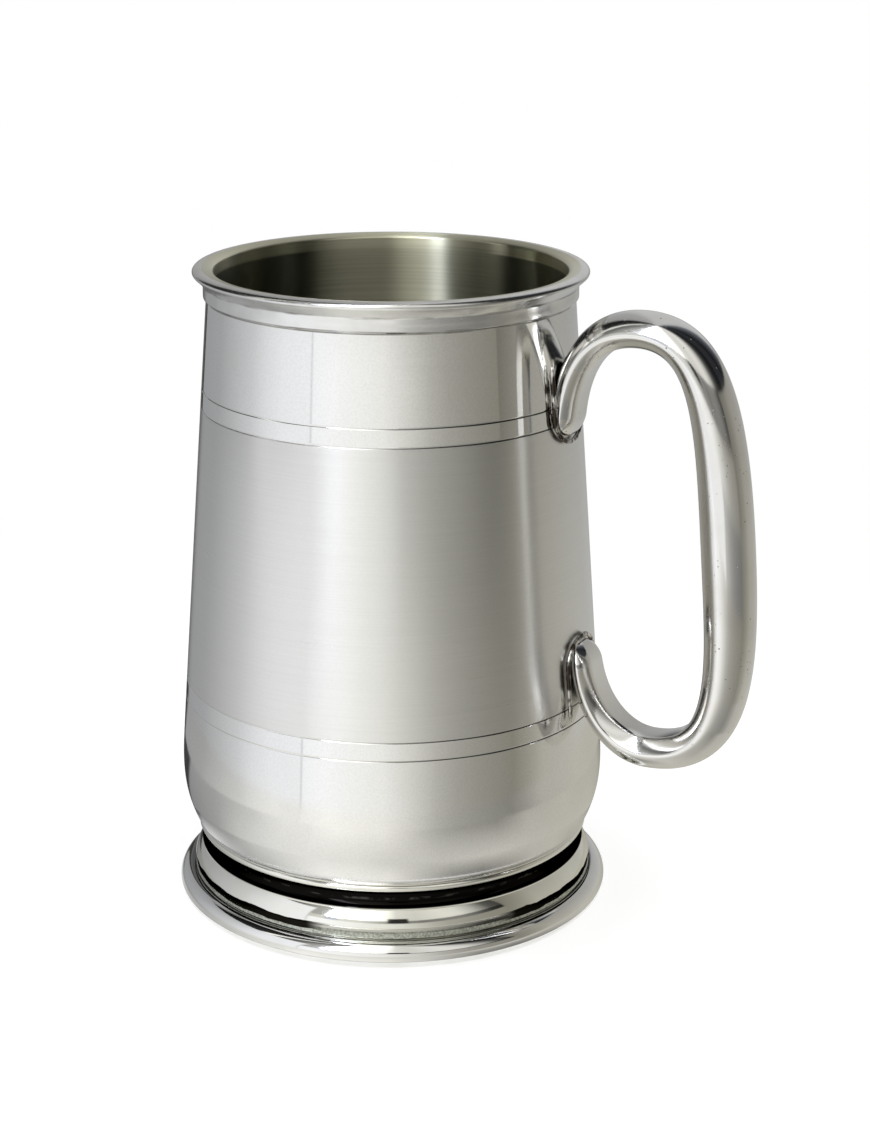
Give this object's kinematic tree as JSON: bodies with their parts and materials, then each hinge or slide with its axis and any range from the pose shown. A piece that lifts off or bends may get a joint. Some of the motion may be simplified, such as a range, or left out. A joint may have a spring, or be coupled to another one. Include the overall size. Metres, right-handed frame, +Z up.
{
  "type": "tankard",
  "caption": "Lidless pewter tankard: tapered drum with a low round belly, flared rim, moulded foot and an open cast handle, polished with a satin band round the drum.",
  "frame": {"origin": "centre of the footprint's box, on the plane that the base bead stands on", "axes": "+Z up, +X towards the handle, +Y across the handle"},
  "size_m": [0.1238, 0.0904, 0.1329],
  "materials": {
    "polished_pewter": "bright polish, with small casting pits",
    "satin_pewter": "satin brushed round the drum, polished above and below the scribed lines",
    "dull_pewter": "turned, not polished",
    "solder": "dull, slightly rough"
  },
  "bodies": {
    "root": {"drum": "satin_pewter", "rim_mount": "polished_pewter", "floor_disc": "dull_pewter", "foot_ring": "polished_pewter", "base_bead": "polished_pewter", "handle": "polished_pewter", "floor_solder_seam": "solder", "foot_solder_seam": "solder", "upper_handle_solder": "solder", "lower_handle_solder": "solder"}
  },
  "joints": []
}
